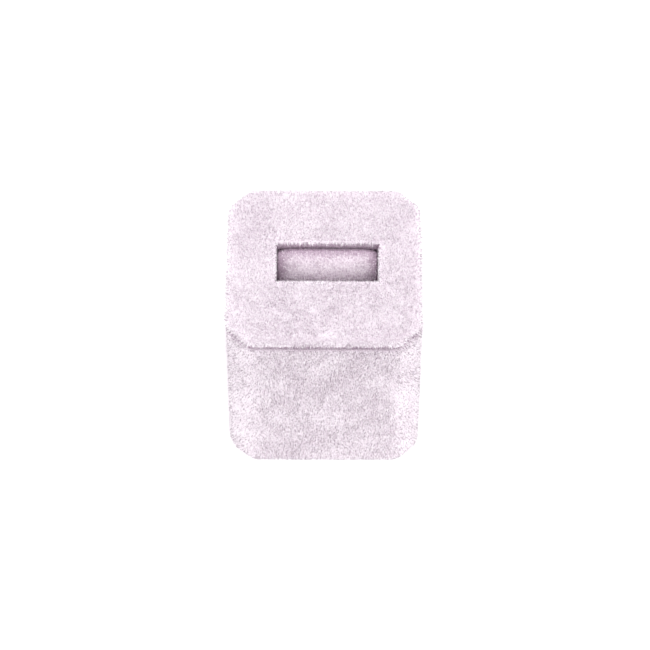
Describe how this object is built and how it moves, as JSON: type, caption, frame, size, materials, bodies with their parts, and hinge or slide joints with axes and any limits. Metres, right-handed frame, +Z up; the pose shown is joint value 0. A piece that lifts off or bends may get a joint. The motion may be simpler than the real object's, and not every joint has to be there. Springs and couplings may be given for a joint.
{
  "type": "ring display box",
  "caption": "Small velvet-covered box, square with cut corners, whose flush top is a lift-off platform with a rectangular ring window above two soft rolls that grip a ring.",
  "frame": {"origin": "middle of the underside, on the surface that the box stands on", "axes": "+Z up, +X to the right as seen from the front, and the front faces -Y; the ring window runs along X"},
  "size_m": [0.05, 0.05, 0.054],
  "materials": {
    "velvet": "short dense pile, pale lilac",
    "felt": "pressed felt, lilac",
    "greyboard": "uncoated",
    "lining_paper": "matt, on the linings and round the collar strips",
    "foam": "open-cell foam, cut faces"
  },
  "bodies": {
    "box_body": {"base_sheet": "felt", "bottom_board": "greyboard", "front_wall_board": "greyboard", "front_right_corner_board": "greyboard", "right_wall_board": "greyboard", "back_right_corner_board": "greyboard", "back_wall_board": "greyboard", "back_left_corner_board": "greyboard", "left_wall_board": "greyboard", "front_left_corner_board": "greyboard", "body_velvet": "velvet", "wall_lining": "lining_paper", "floor_lining": "lining_paper", "foam_block": "foam", "front_roll_core": "foam", "front_roll_sleeve": "velvet", "rear_roll_core": "foam", "rear_roll_sleeve": "velvet"},
    "ring_platform": {"platform_board": "greyboard", "platform_velvet": "velvet", "platform_backing": "felt", "front_collar_strip": "lining_paper", "right_collar_strip": "lining_paper", "back_collar_strip": "lining_paper", "left_collar_strip": "lining_paper"}
  },
  "joints": [
    {"name": "platform_lift", "type": "slide", "parent": "box_body", "child": "ring_platform", "axis": [0, 0, 1], "range_m": [0, 0.04]}
  ]
}
